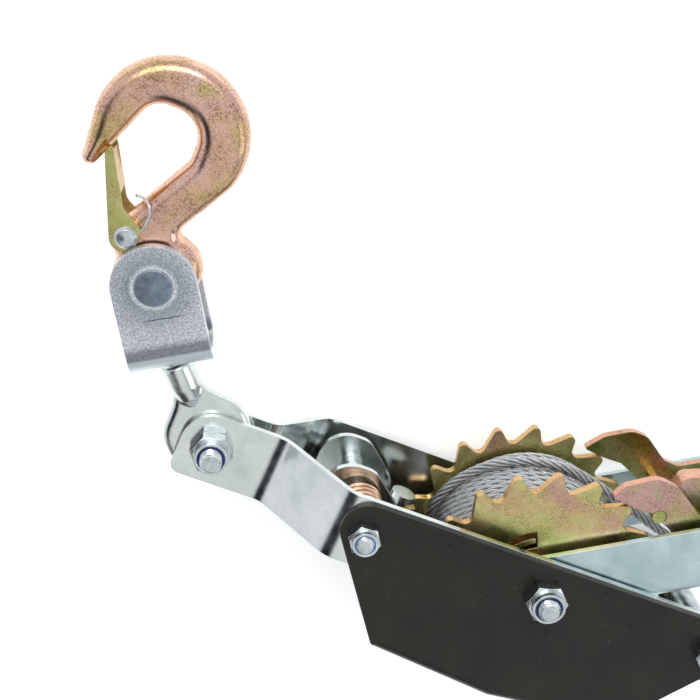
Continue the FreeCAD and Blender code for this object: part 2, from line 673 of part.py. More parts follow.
def anchor_parts():
    pin = hook_pin()
    rivet_head = revolved([(0, YOKE_OUT), (8.4, YOKE_OUT), (8.0, YOKE_OUT + 0.9), (0, YOKE_OUT + 1.3)], *pin)
    rivet = joined(cylinder(HOOK_PIN_R, -YOKE_OUT - 0.5, YOKE_OUT + 0.5, *pin),
                   rivet_head, mirrored(rivet_head))
    at = (*pin, 0)
    return {
        "swivel_eye": swivel_eye(),
        "yoke": yoke(),
        "yoke_rivet": rivet,
        "anchor_hook": placed(hook_body(HOOK_PIN_R + FIT), 0, at),
        "anchor_latch": placed(hook_latch(), 0, at),
        "anchor_latch_rivet": placed(latch_rivet(), 0, at),
        "anchor_latch_spring": placed(latch_spring(), 0, at),
    }


def load_parts():
    loop_at = RUN_LENGTH + FERRULE_L
    eye_at = loop_at + CROWN_AT + THIMBLE_IN - LOAD_SEAT + LOAD_HOLE
    turned = {
        "load_hook": hook_body(LOAD_HOLE),
        "load_latch": hook_latch(),
        "load_latch_rivet": latch_rivet(),
        "load_latch_spring": latch_spring(),
    }
    parts = {name: on_line(placed(shape, -HOOK_AIM), eye_at, LOOP_Z) for name, shape in turned.items()}
    parts["rope_run"] = on_line(rod(ROPE_R, ORIGIN, X_AXIS * RUN_LENGTH))
    parts["rope_ferrule"] = on_line(ferrule(), RUN_LENGTH, LOOP_Z)
    parts["rope_loop"] = on_line(rope_loop(), loop_at, LOOP_Z)
    parts["rope_thimble"] = on_line(thimble(), loop_at, LOOP_Z)
    return parts


def main():
    os.makedirs("parts", exist_ok=True)
    parts = {}
    for section in (fasteners, frame_parts, drum_parts, handle_parts, anchor_parts, load_parts):
        parts.update(section())
    parts["holding_pawl"] = holding_pawl()
    for name, shape in sorted(parts.items()):
        box = shape.BoundBox
        print(f"{name:22s} solids {len(shape.Solids)} valid {shape.isValid()} volume {shape.Volume:10.1f}"
              f"  x {box.XMin:.1f}..{box.XMax:.1f} y {box.YMin:.1f}..{box.YMax:.1f} z {box.ZMin:.1f}..{box.ZMax:.1f}")
        shape.exportStep(f"parts/{name}.step")


main()
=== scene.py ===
import json
import math

import bmesh
import bpy
import numpy as np
from mathutils import Matrix, Vector
from mathutils.geometry import delaunay_2d_cdt


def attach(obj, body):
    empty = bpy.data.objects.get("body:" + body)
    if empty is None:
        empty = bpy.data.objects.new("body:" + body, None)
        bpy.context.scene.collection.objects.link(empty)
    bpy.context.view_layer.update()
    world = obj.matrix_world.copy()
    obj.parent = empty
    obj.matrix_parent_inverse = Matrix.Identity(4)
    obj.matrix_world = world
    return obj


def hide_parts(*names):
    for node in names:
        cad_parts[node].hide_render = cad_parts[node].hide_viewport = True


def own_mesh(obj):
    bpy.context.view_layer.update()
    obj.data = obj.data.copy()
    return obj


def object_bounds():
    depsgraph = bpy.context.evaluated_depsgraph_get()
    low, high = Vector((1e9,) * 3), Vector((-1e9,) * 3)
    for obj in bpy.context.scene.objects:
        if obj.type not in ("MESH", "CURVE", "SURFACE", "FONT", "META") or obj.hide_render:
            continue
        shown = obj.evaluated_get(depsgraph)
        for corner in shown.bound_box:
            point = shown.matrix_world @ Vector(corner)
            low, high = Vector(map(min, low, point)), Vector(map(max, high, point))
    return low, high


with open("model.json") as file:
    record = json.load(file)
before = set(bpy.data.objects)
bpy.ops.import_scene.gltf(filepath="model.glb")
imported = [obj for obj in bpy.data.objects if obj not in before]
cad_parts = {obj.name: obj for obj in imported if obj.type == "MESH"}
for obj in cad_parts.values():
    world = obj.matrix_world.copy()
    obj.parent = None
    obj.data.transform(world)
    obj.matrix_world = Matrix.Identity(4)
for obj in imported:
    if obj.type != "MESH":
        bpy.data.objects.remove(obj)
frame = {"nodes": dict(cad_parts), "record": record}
CAD_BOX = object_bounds()
MM = 0.001

# ---------------------------------------------------------------- places repeated from the CAD, in metres
ROPE_R = 0.0024
STRANDS = 6
STRAND_POINTS = 4
ROPE_STEP = 0.0012
LEG_GAP = 0.00245                   # half the gap between the loop's legs, in the ferrule
WINDING_HALF = 0.0201               # outermost turns, from the middle of the drum
WINDING_PITCH = 0.00485
LAYER_R = 0.0421
RUN_START = (0.01238, 0.04555, 0.0)
RUN_TURN = math.radians(-15.2)
RUN_AIM = (math.cos(RUN_TURN), math.sin(RUN_TURN), 0.0)
RUN_LENGTH = 0.172
RUN_END = tuple(RUN_START[i] + RUN_LENGTH * RUN_AIM[i] for i in range(3))
LOOP_AT = 0.194                     # from the run's start, along the rope
LOOP_LEVEL = -LEG_GAP
LOAD_EYE_AT = 0.2446
LOAD_HOOK_TURN = RUN_TURN - math.radians(104.4)
ANCHOR_EYE = (-0.21191, 0.064829, 0.0)
RIVET_FACE = (-0.21191, 0.06483, 0.0159)
YOKE_TURN = math.radians(122.0)
YOKE_DOWN = (-math.cos(YOKE_TURN), -math.sin(YOKE_TURN), 0.0)
YOKE_ACROSS = (math.sin(YOKE_TURN), -math.cos(YOKE_TURN), 0.0)
FRONT_X = -0.1615                   # front bolt, with the swivel eye
PAWL_X = -0.0895                    # holding pawl's bolt
REAR_X = 0.087
EYE_TURN = math.radians(133.0)
HANDLE_TURN = math.radians(32.3)
FLOOR_LEVEL = CAD_BOX[0][2] - 0.0002
WHITE = (1.0, 1.0, 1.0)


# ---------------------------------------------------------------- camera
def make_camera():
    data = bpy.data.cameras.new("camera")
    data.lens = 61.86
    data.sensor_width = 36.0
    data.clip_start = 0.01
    data.clip_end = 20.0
    camera = bpy.data.objects.new("camera", data)
    right = (0.9156, 0.3953, 0.0736)
    up = (-0.3418, 0.8616, -0.3752)
    back = (-0.2118, 0.3184, 0.9240)
    turn = Matrix((right, up, back)).transposed().to_4x4()
    camera.matrix_world = Matrix.Translation((-0.2343, 0.2352, 0.4948)) @ turn
    bpy.context.collection.objects.link(camera)
    bpy.context.scene.camera = camera


# ---------------------------------------------------------------- material helpers
def colour(red, green, blue):
    """Linear colour of an sRGB one given in 0 to 255."""
    def linear(part):
        part = part / 255
        return part / 12.92 if part <= 0.04045 else ((part + 0.055) / 1.055) ** 2.4
    return (linear(red), linear(green), linear(blue), 1.0)


def plug(tree, socket, value):
    """Link another node's output to a socket, or set the socket's own value."""
    if isinstance(value, bpy.types.NodeSocket):
        tree.links.new(value, socket)
    else:
        socket.default_value = value


def add(tree, kind, settings=None, **inputs):
    node = tree.nodes.new("ShaderNode" + kind)
    for key, value in (settings or {}).items():
        setattr(node, key, value)
    for key, value in inputs.items():
        plug(tree, node.inputs[key.replace("_", " ")], value)
    return node


def calculate(tree, kind, operation, *values):
    """Value of a Math or VectorMath node."""
    node = add(tree, kind, {"operation": operation})
    for socket, value in zip(node.inputs, values):
        plug(tree, socket, value)
    return node.outputs["Value"]


def ramp(tree, fac, stops):
    """Colour ramp; each stop is (place, colour), and the colour may leave out its alpha."""
    node = add(tree, "ValToRGB", Fac=fac)
    band = node.color_ramp
    while len(band.elements) < len(stops):
        band.elements.new(0.5)
    for element, (place, tone) in zip(band.elements, stops):
        element.position = place
        element.color = tone if len(tone) == 4 else (*tone, 1.0)
    return node.outputs["Color"]


def blend(tree, fac, first, second, how="MIX"):
    node = tree.nodes.new("ShaderNodeMix")
    node.data_type = "RGBA"
    node.blend_type = how
    for index, value in ((0, fac), (6, first), (7, second)):    # the Mix node's colour sockets
        plug(tree, node.inputs[index], value)
    return node.outputs[2]


def spread(tree, value, low, high, start=0.0, end=1.0):
    """Values from start to end mapped to low to high, and held outside them."""
    return add(tree, "MapRange", Value=value, From_Min=start, From_Max=end,
               To_Min=low, To_Max=high).outputs["Result"]


def noise(tree, place, scale, detail=4.0, rough=0.55, stretch=None):
    if stretch:
        place = add(tree, "Mapping", Vector=place, Scale=stretch).outputs["Vector"]
    return add(tree, "TexNoise", Vector=place, Scale=scale, Detail=detail, Roughness=rough).outputs["Fac"]


def edges(tree, radius, gain):
    """1 along convex and concave edges, fading to 0 on flats."""
    soft = add(tree, "Bevel", {"samples": 4}, Radius=radius).outputs["Normal"]
    sharp = add(tree, "NewGeometry").outputs["Normal"]
    return spread(tree, calculate(tree, "VectorMath", "DOT_PRODUCT", soft, sharp), 1.0, 0.0, 1 - gain, 1.0)


def surface(name, metallic, **sockets):
    material = bpy.data.materials.new(name)
    material.use_nodes = True
    tree = material.node_tree
    shader = tree.nodes["Principled BSDF"]
    shader.inputs["Metallic"].default_value = metallic
    for key, value in sockets.items():
        shader.inputs[key.replace("_", " ")].default_value = value
    return material, tree, shader


def relief(tree, shader, height, strength, distance, bevel=0.0004):
    """Bump from a height, over edges that are softened by a bevel."""
    edge = add(tree, "Bevel", {"samples": 4}, Radius=bevel).outputs["Normal"]
    bump = add(tree, "Bump", Height=height, Strength=strength, Distance=distance, Normal=edge)
    tree.links.new(bump.outputs["Normal"], shader.inputs["Normal"])


# ---------------------------------------------------------------- materials
def plated(name, dark, light, rough, patch=55.0, grain=0.05, edge_wear_and_highlight=(0.9, 0.92, 0.92, 1.0)):
    """Zinc over steel: cloudy tone, fine drawn grain, lighter edges: edge wear, and a painted highlight on
    the rivet.
    """
    material, tree, shader = surface(name, 1.0)
    place = add(tree, "TexCoord").outputs["Object"]
    clouds = noise(tree, place, patch, 6.0, 0.6)
    fine = noise(tree, place, 1400.0, 3.0, 0.6)
    drawn = noise(tree, place, 260.0, 4.0, 0.6, stretch=(0.12, 1.0, 1.0))
    tone = ramp(tree, clouds, [(0.3, dark), (0.7, light)])
    speckle = ramp(tree, fine, [(0.3, (0.25, 0.25, 0.25)), (0.7, WHITE)])
    tone = blend(tree, 0.22, tone, speckle, "SOFT_LIGHT")
    # edges lightened towards the edge colour: worn plating on most finishes, a painted highlight on the rivet
    tone = blend(tree, edges(tree, 0.0007, 0.25), tone, edge_wear_and_highlight)
    tree.links.new(tone, shader.inputs["Base Color"])
    gloss = blend(tree, 0.4, clouds, drawn)
    tree.links.new(spread(tree, gloss, rough - 0.08, rough + 0.12, 0.3, 0.7), shader.inputs["Roughness"])
    relief(tree, shader, blend(tree, 0.5, fine, drawn), grain, 0.0002)
    return material


def passivated(name, tones, side, sparkle, rough, patch=38.0):
    """Yellow chromate over zinc: drifting gold, green and pink faces, a warmer painted sheen on the sides by
    their facing, and a grainy sparkle.
    """
    hem_tone = (0.62, 0.34, 0.22, 1.0)
    material, tree, shader = surface(name, 1.0)
    coords = add(tree, "TexCoord")
    place = coords.outputs["Object"]
    drift = noise(tree, place, patch, 5.0, 0.6)
    tone = ramp(tree, drift, [(0.30 + 0.10 * i, t) for i, t in enumerate(tones)])
    # painted sheen: faces turned sideways take the warmer side colour, standing in for iridescence
    facing = add(tree, "SeparateXYZ", Vector=coords.outputs["Normal"]).outputs["Z"]
    flat = calculate(tree, "Math", "ABSOLUTE", facing)
    tone = blend(tree, spread(tree, flat, 0.85, 0.0, 0.25, 0.95), tone, side)
    speck = noise(tree, place, 1300.0, 2.0, 0.7)
    worn = noise(tree, place, 95.0, 5.0, 0.65)
    dots = ramp(tree, speck, [(0.44, WHITE), (0.60, sparkle)])
    dotted = blend(tree, 1.0, tone, dots, "MULTIPLY")
    tone = blend(tree, spread(tree, worn, 0.1, 0.9, 0.35, 0.65), tone, dotted)
    hem = edges(tree, 0.0008, 0.3)
    tone = blend(tree, spread(tree, hem, 0.0, 0.6), tone, hem_tone)
    tree.links.new(tone, shader.inputs["Base Color"])
    tree.links.new(spread(tree, worn, rough - 0.06, rough + 0.14, 0.3, 0.7), shader.inputs["Roughness"])
    pits = noise(tree, place, 420.0, 5.0, 0.65)
    relief(tree, shader, blend(tree, 0.5, speck, pits), 0.2, 0.0002, 0.0005)
    return material


def painted(name, tone, dust, rough):
    """Baked paint: slight orange peel, dust specks and rubbed edges."""
    def lighter(gain):
        return tuple(min(1.0, gain * c) for c in dust[:3]) + (1.0,)
    material, tree, shader = surface(name, 0.0, Specular_IOR_Level=0.3)
    place = add(tree, "TexCoord").outputs["Object"]
    peel = noise(tree, place, 480.0, 3.0, 0.5)
    haze = noise(tree, place, 26.0, 5.0, 0.6)
    specks = ramp(tree, noise(tree, place, 900.0, 2.0, 0.5), [(0.70, (0.0, 0.0, 0.0)), (0.76, WHITE)])
    shade = ramp(tree, haze, [(0.3, tone), (0.75, dust)])
    shade = blend(tree, specks, shade, lighter(3.5))
    shade = blend(tree, edges(tree, 0.0006, 0.3), shade, lighter(4.0))
    tree.links.new(shade, shader.inputs["Base Color"])
    tree.links.new(spread(tree, haze, rough - 0.06, rough + 0.1, 0.3, 0.7), shader.inputs["Roughness"])
    relief(tree, shader, peel, 0.12, 0.0002, 0.0006)
    return material


def moulded(name, tone, deep, rough, scale=600.0, grain=0.2, sheen=0.0):
    """Nylon or rubber: fine moulded texture with slight scuffs."""
    material, tree, shader = surface(name, 0.0, Sheen_Weight=sheen, Specular_IOR_Level=0.4)
    place = add(tree, "TexCoord").outputs["Object"]
    scuff = noise(tree, place, 90.0, 6.0, 0.7)
    tree.links.new(ramp(tree, scuff, [(0.3, deep), (0.7, tone)]), shader.inputs["Base Color"])
    tree.links.new(spread(tree, scuff, rough - 0.1, rough + 0.12, 0.3, 0.7), shader.inputs["Roughness"])
    relief(tree, shader, noise(tree, place, scale, 4.0, 0.6), grain, 0.0003)
    return material


def wire_rope(name):
    """Galvanised strands: fine wires running across each strand, with painted shade between the wires and in
    the grooves.
    """
    material, tree, shader = surface(name, 1.0)
    coords = add(tree, "TexCoord")
    slanted = add(tree, "Mapping", Vector=coords.outputs["UV"], Rotation=(0.0, 0.0, 0.32)).outputs["Vector"]
    wires = add(tree, "TexWave", {"bands_direction": "Y", "wave_profile": "SIN"}, Vector=slanted,
                Scale=12.0, Distortion=0.4, Detail=1.0).outputs["Fac"]
    grime = noise(tree, coords.outputs["Object"], 320.0, 5.0, 0.65)
    strand = add(tree, "SeparateXYZ", Vector=coords.outputs["UV"]).outputs["Y"]
    share = calculate(tree, "Math", "FRACT", strand)
    groove = calculate(tree, "Math", "ABSOLUTE", calculate(tree, "Math", "SUBTRACT", share, 0.5))
    # painted shade: dark in the grooves between strands
    shade = ramp(tree, groove, [(0.02, (0.10, 0.10, 0.11)), (0.20, WHITE)])
    # tone darker between the fine wires and light on them: painted shade between the wires
    tone = ramp(tree, wires, [(0.0, colour(150, 153, 155)), (0.45, colour(226, 229, 231)),
                              (1.0, colour(250, 250, 251))])
    dull = ramp(tree, grime, [(0.3, colour(205, 206, 206)), (0.62, WHITE)])
    tone = blend(tree, 0.5, tone, dull, "MULTIPLY")
    tone = blend(tree, 0.85, tone, shade, "MULTIPLY")
    tree.links.new(tone, shader.inputs["Base Color"])
    tree.links.new(spread(tree, grime, 0.22, 0.5, 0.3, 0.7), shader.inputs["Roughness"])
    relief(tree, shader, wires, 0.5, 0.00015, 0.0001)
    return material


def make_materials():
    gold = [colour(150, 160, 96), colour(190, 190, 122), colour(212, 202, 140), colour(214, 184, 142),
            colour(206, 166, 150)]
    pink = [colour(168, 158, 104), colour(212, 184, 134), colour(226, 184, 160), colour(232, 190, 180),
            colour(214, 192, 138)]
    lever = [colour(120, 128, 70), colour(166, 164, 96), colour(198, 176, 136), colour(214, 170, 168),
             colour(170, 180, 120)]
    return {
        "yoke_zinc": blasted("yoke_zinc"),
        # the rivet's light edge colour is a painted highlight, the bright ring round its head
        "rivet_zinc": plated("rivet_zinc", colour(104, 116, 134), colour(146, 156, 170), 0.3, 300.0, 0.3,
                             colour(236, 240, 244)),
        "zinc_plate": plated("zinc_plate", colour(200, 207, 205), colour(232, 237, 234), 0.17),
        "bright_zinc": plated("bright_zinc", colour(166, 174, 180), colour(228, 233, 236), 0.2, 180.0),
        "handle_zinc": plated("handle_zinc", colour(176, 199, 204), colour(214, 230, 232), 0.34),
        "black_paint": painted("black_paint", colour(24, 23, 19), colour(44, 42, 36), 0.3),
        # each passivated finish's third colour is the painted sheen on its sides
        "yellow_zinc": passivated("yellow_zinc", gold, colour(222, 178, 122), (0.5, 0.45, 0.3), 0.28),
        "pink_zinc": passivated("pink_zinc", pink, colour(236, 198, 168), (0.36, 0.24, 0.22), 0.2),
        "lever_zinc": passivated("lever_zinc", lever, colour(226, 170, 148), (0.42, 0.34, 0.24), 0.26, 26.0),
        "nylon_light": moulded("nylon_light", colour(70, 160, 235), colour(40, 120, 210), 0.4),
        "nylon_dark": moulded("nylon_dark", colour(44, 62, 120), colour(28, 40, 84), 0.4),
        "spring_wire": plated("spring_wire", colour(190, 146, 116), colour(238, 204, 178), 0.2, 240.0,
                              edge_wear_and_highlight=colour(230, 190, 160)),
        "galvanised_rope": wire_rope("galvanised_rope"),
        "grip_rubber": moulded("grip_rubber", colour(40, 40, 42), colour(24, 24, 26), 0.62, 900.0, 0.3, 0.15),
    }


def past_rivet(tree, place, direction):
    """Distance past the yoke's rivet, measured one way."""
    dot = calculate(tree, "VectorMath", "DOT_PRODUCT", place, direction)
    return calculate(tree, "Math", "SUBTRACT", dot, sum(a * b for a, b in zip(direction, RIVET_FACE)))


def scribed(tree, place):
    """1 on the fine line scribed across the yoke's face, 14 mm below its rivet."""
    masks = []
    for direction, centre, half in ((YOKE_DOWN, 0.014, 0.00022), (YOKE_ACROSS, 0.001, 0.009)):
        gap = calculate(tree, "Math", "SUBTRACT", past_rivet(tree, place, direction), centre)
        size = calculate(tree, "Math", "ABSOLUTE", gap)
        masks.append(spread(tree, size, 1.0, 0.0, half * 0.6, half * 1.2))
    return calculate(tree, "Math", "MULTIPLY", *masks)


def blasted(name):
    """Zinc over a coarse blasted face, with painted reflection round the rivet, then a painted shade band and
    a pale painted highlight strip where the sheet is bent.
    """
    material, tree, shader = surface(name, 0.8)
    place = add(tree, "TexCoord").outputs["Object"]
    sparkle = noise(tree, place, 1700.0, 3.0, 0.75)
    clouds = noise(tree, place, 70.0, 5.0, 0.6)
    # painted reflection on the yoke's face: dark round the rivet, a painted highlight ring about it, then
    # lighter further off
    reach = calculate(tree, "VectorMath", "DISTANCE", place, RIVET_FACE)
    ring = spread(tree, reach, 0.0, 1.0, 0.006, 0.038)
    face = ramp(tree, ring, [(0.06, colour(96, 110, 128)), (0.085, colour(236, 240, 244)),
                             (0.15, colour(150, 158, 168)), (0.40, colour(196, 199, 206)),
                             (0.78, colour(224, 224, 230))])
    # dark pits from the blasted grain, and specks above white: painted glints
    dots = ramp(tree, sparkle, [(0.36, (0.36, 0.37, 0.40)), (0.52, (1.15, 1.15, 1.17)),
                                (0.66, (2.2, 2.2, 2.2))])
    tone = blend(tree, 0.75, face, dots, "MULTIPLY")
    tone = blend(tree, spread(tree, clouds, 0.0, 0.35, 0.35, 0.7), tone, colour(205, 208, 214))
    tone = blend(tree, scribed(tree, place), tone, colour(70, 74, 80))
    down = past_rivet(tree, place, YOKE_DOWN)
    # painted shade: a ragged dark band across the yoke just above the bend
    ragged = blend(tree, 0.0035, down, noise(tree, place, 420.0, 3.0, 0.7))
    dark = spread(tree, ragged, 0.0, 0.75, 0.0260, 0.0295)
    tone = blend(tree, dark, tone, colour(104, 110, 118))
    # painted highlight: a pale strip along the bend, where the bent sheet catches light; roughness is also
    # set there
    bend_painted_highlight = spread(tree, down, 0.0, 1.0, 0.0310, 0.0322)
    tone = blend(tree, bend_painted_highlight, tone, colour(228, 238, 240))
    tone = blend(tree, edges(tree, 0.0008, 0.25), tone, colour(232, 238, 242))
    tree.links.new(tone, shader.inputs["Base Color"])
    rough = blend(tree, bend_painted_highlight, spread(tree, sparkle, 0.26, 0.5, 0.3, 0.7), (0.38, 0.38, 0.38, 1.0))
    tree.links.new(rough, shader.inputs["Roughness"])
    relief(tree, shader, sparkle, 0.35, 0.0003, 0.0006)
    return material


# ---------------------------------------------------------------- mesh helpers
def lay_wires(mesh, uv):
    """Write one UV per point: length along the rope, and strand number round it."""
    corner = np.empty(len(mesh.loops), dtype=np.int32)
    mesh.loops.foreach_get("vertex_index", corner)
    spot = uv[corner]
    first = np.empty(len(mesh.polygons), dtype=np.int32)
    sides = np.empty(len(mesh.polygons), dtype=np.int32)
    mesh.polygons.foreach_get("loop_start", first)
    mesh.polygons.foreach_get("loop_total", sides)
    # quads that go from the last strand back to strand 0 run on to strand 6
    highest = np.repeat(np.maximum.reduceat(spot[:, 1], first), sides)
    seam = (highest > STRANDS - 1) & (spot[:, 1] < 0.1) & (np.repeat(sides, sides) == 4)
    spot[seam, 1] += STRANDS
    mesh.uv_layers.new(name="wires").data.foreach_set("uv", spot.ravel())


def mesh_object(name, points, faces, body, nodes, material, uv=None):
    """A smooth new piece that rides a body and stands for the given nodes."""
    mesh = bpy.data.meshes.new(name)
    mesh.from_pydata([tuple(p) for p in points], [], faces)
    mesh.update()
    if uv is not None:
        lay_wires(mesh, uv)
    mesh.polygons.foreach_set("use_smooth", [True] * len(mesh.polygons))
    mesh.materials.append(material)
    piece = bpy.data.objects.new(name, mesh)
    bpy.context.collection.objects.link(piece)
    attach(piece, body)
    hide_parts(*nodes)
    return piece


def rings_of_faces(rings, count, base=0):
    """Quads that join each ring of count points to the next."""
    faces = []
    for i in range(rings - 1):
        here, there = base + i * count, base + (i + 1) * count
        for k in range(count):
            n = (k + 1) % count
            faces.append((here + k, here + n, there + n, there + k))
    return faces


def closed_rings(rings, count):
    """The same quads, with a face over each end."""
    ends = [tuple(range(count))[::-1], tuple(range((rings - 1) * count, rings * count))]
    return rings_of_faces(rings, count) + ends


def even_angles(count):
    return np.arange(count) * 2 * math.pi / count


def frames_along(line):
    """Unit side and up vectors carried along a line without twist."""
    ahead = np.gradient(line, axis=0)
    ahead /= np.linalg.norm(ahead, axis=1)[:, None]
    side = np.empty_like(line)
    seed = np.array([0.0, 0.0, 1.0]) if abs(ahead[0][2]) < 0.9 else np.array([1.0, 0.0, 0.0])
    for i, direction in enumerate(ahead):
        seed = seed - direction * seed.dot(direction)
        seed = seed / np.linalg.norm(seed)
        side[i] = seed
    return side, np.cross(ahead, side)


def tube(line, radii, angles):
    """Points and faces of a tube whose ring i has radii[i] at angles[i], closed at both ends."""
    side, up = frames_along(line)
    rings, count = radii.shape
    across = (radii * np.cos(angles))[..., None] * side[:, None, :]
    above = (radii * np.sin(angles))[..., None] * up[:, None, :]
    return (line[:, None, :] + across + above).reshape(-1, 3), closed_rings(rings, count)


def travelled(line):
    """Length along a line at each of its points."""
    return np.concatenate([[0.0], np.cumsum(np.linalg.norm(np.diff(line, axis=0), axis=1))])


def off_sixth(angles):
    """Angle from the nearest multiple of 60 degrees."""
    return (angles + math.pi / 6) % (math.pi / 3) - math.pi / 6


def stranded(line):
    """A six-strand rope along a line: lobes that turn with the length."""
    lay, tile, deepest = 0.031, 0.006, 0.74
    along = travelled(line)
    count = STRANDS * STRAND_POINTS
    flat = even_angles(count)
    off = off_sixth(flat)
    lobe = (2 * np.cos(off) + np.sqrt(np.maximum(1 - 4 * np.sin(off) ** 2, 0))) / 3
    lobe = np.maximum(lobe, deepest)
    turn = along[:, None] * 2 * math.pi / lay
    radii = np.repeat((ROPE_R * lobe)[None, :], len(line), axis=0)
    points, faces = tube(line, radii, flat[None, :] + turn)
    around = np.repeat(np.arange(count)[None, :] / STRAND_POINTS, len(line), axis=0)
    uv = np.stack([np.repeat(along[:, None] / tile, count, axis=1), around], axis=2).reshape(-1, 2)
    return points, faces, uv


def route_line(points, step):
    """Points evenly along the smooth NURBS line of a route."""
    data = bpy.data.curves.new("route", "CURVE")
    data.dimensions = "3D"
    data.resolution_u = 24
    spline = data.splines.new("NURBS")
    spline.points.add(len(points) - 1)
    for target, point in zip(spline.points, points):
        target.co = (*point, 1.0)
    spline.order_u = 3
    spline.use_endpoint_u = True
    holder = bpy.data.objects.new("route", data)
    mesh = bpy.data.meshes.new_from_object(holder)
    line = np.array([v.co[:] for v in mesh.vertices])
    bpy.data.objects.remove(holder)
    bpy.data.meshes.remove(mesh)
    bpy.data.curves.remove(data)
    return evenly(line, step)


def evenly(line, step):
    """The same line with points about a step apart."""
    along = travelled(line)
    places = np.linspace(0.0, along[-1], max(2, int(round(along[-1] / step)) + 1))
    return np.stack([np.interp(places, along, line[:, i]) for i in range(3)], axis=1)


def in_line(points, along, level):
    """From the load line's own axes (x along the rope, z across it) to the part's frame."""
    turn = np.array([[RUN_AIM[0], -RUN_AIM[1]], [RUN_AIM[1], RUN_AIM[0]]])
    out = np.empty((len(points), 3))
    for i, (x, y, z) in enumerate(points):
        flat = turn @ np.array([x + along, y])
        out[i] = (RUN_START[0] + flat[0], RUN_START[1] + flat[1], z + level)
    return out


# ---------------------------------------------------------------- rope
def make_run(material):
    """Free run, pulled straight from the winding to the ferrule."""
    middle = tuple((RUN_START[i] + RUN_END[i]) / 2 for i in range(3))
    line = route_line([RUN_START, middle, RUN_END], ROPE_STEP)
    points, faces, uv = stranded(line)
    piece = mesh_object("rope_run_strands", points, faces, "frame", ["rope_run"],
                        material, uv=uv)
    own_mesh(piece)


def winding_line():
    """Top turn from the run's start, which crosses to the far wheel and drops into the layer beneath."""
    def ease(share):
        return share * share * (3 - 2 * share)

    start = math.atan2(RUN_START[1], RUN_START[0])
    points = []
    over, drop_from = math.radians(150), 0.66
    for turn in np.arange(0.0, over, 0.03):
        share = turn / over
        drop = max(0.0, (share - drop_from) / (1 - drop_from))
        radius = LAYER_R + 2 * ROPE_R * (1 - ease(drop))
        points.append((radius, start + turn, -WINDING_HALF * ease(share)))
    last = start + over
    whole = 2 * math.pi * 2 * WINDING_HALF / WINDING_PITCH
    for turn in np.arange(0.0, whole, 0.035):
        points.append((LAYER_R, last + turn, -WINDING_HALF + WINDING_PITCH * turn / (2 * math.pi)))
    return np.array([(r * math.cos(a), r * math.sin(a), z) for r, a, z in points])


def make_winding(material):
    """Rope on the drum: its outer turns, over a ribbed core for the layers beneath."""
    points, faces, uv = stranded(winding_line())
    spokes = 96
    core_half, tube_r, valley_r, rib = 0.0226, 0.0245, 0.0374, 0.0018
    rows = np.linspace(-core_half, core_half, 76)
    profile = valley_r + rib * np.sqrt(np.abs(np.cos(math.pi * rows / WINDING_PITCH)))
    rim = [(tube_r, rows[0]), *zip(profile, rows), (tube_r, rows[-1])]
    core = [(r * math.cos(a), r * math.sin(a), z) for r, z in rim for a in even_angles(spokes)]
    faces += rings_of_faces(len(rim), spokes, len(points))
    wound = np.array([(4 * (i + k / spokes), k / 4) for i in range(len(rim)) for k in range(spokes)])
    mesh_object("rope_winding_strands", np.vstack([points, core]), faces, "drum",
                ["rope_winding"], material, uv=np.vstack([uv, wound]))


def make_loop(material):
    """Rope round the thimble: two legs from the ferrule that meet in an arc at the crown."""
    eye_r, thimble_wall, crown = 0.009, 0.0016, 0.038
    bend = eye_r + thimble_wall + ROPE_R
    lean = math.asin((bend - LEG_GAP) / crown)
    arc = [(crown + bend * math.cos(a), 0.0, bend * math.sin(a))
           for a in np.linspace(math.pi / 2 + lean * 0.5, -math.pi / 2 - lean * 0.5, 40)]
    legs = [(0.0, 0.0, LEG_GAP)] + arc + [(0.0, 0.0, -LEG_GAP)]
    line = evenly(in_line(legs, LOOP_AT, LOOP_LEVEL), ROPE_STEP)
    points, faces, uv = stranded(line)
    mesh_object("rope_loop_strands", points, faces, "load_end", ["rope_loop"],
                material, uv=uv)


# ---------------------------------------------------------------- forged hooks and eye
# hook outline round its eye: x, y and corner radius in millimetres
HOOK_CORNERS = [(17.8, 18.7, 14), (18.5, -18.5, 18), (-18.5, -18.5, 18), (-18.5, 4, 6), (-25, 9, 5),
                (-22, 20, 6), (-4.2, 53.4, 8), (-4.2, 71.6, 12), (-26.6, 71.6, 10), (-45.3, 24.5, 3.4),
                (-49.4, 92.3, 32), (18.2, 92.6, 32), (17.3, 52, 26), (0.6, 22, 4)]
HOOK_HALF = 7.5
HOOK_ROLL = 6.2
HOOK_WALL = 0.9


def rounded(corners, step):
    """Evenly spaced points round a closed outline whose corners (x, y, radius) are rounded."""
    points = []
    for i, (x, y, radius) in enumerate(corners):
        here = np.array([x, y], float)
        back = np.array(corners[i - 1][:2], float) - here
        ahead = np.array(corners[(i + 1) % len(corners)][:2], float) - here
        back /= np.linalg.norm(back)
        ahead /= np.linalg.norm(ahead)
        half = math.acos(float(back @ ahead)) / 2
        centre = here + (back + ahead) / np.linalg.norm(back + ahead) * radius / math.sin(half)
        first = here + back * radius / math.tan(half) - centre
        last = here + ahead * radius / math.tan(half) - centre
        start = math.atan2(first[1], first[0])
        sweep = math.remainder(math.atan2(last[1], last[0]) - start, 2 * math.pi)
        for share in np.linspace(0, 1, max(3, int(abs(sweep) * radius / 0.4))):
            angle = start + sweep * share
            points.append(centre + radius * np.array([math.cos(angle), math.sin(angle)]))
    loop = np.array(points + points[:1])
    flat = np.hstack([loop, np.zeros((len(loop), 1))])
    return evenly(flat, step)[:-1, :2]


def edge_distance(points, loop):
    """Distance from each point to a closed outline."""
    along = np.roll(loop, -1, axis=0) - loop
    square = (along ** 2).sum(axis=1)
    best = np.full(len(points), 1e9)
    for a, d, q in zip(loop, along, square):
        share = np.clip(((points - a) @ d) / q, 0, 1)
        best = np.minimum(best, np.linalg.norm(points - a - share[:, None] * d, axis=1))
    return best


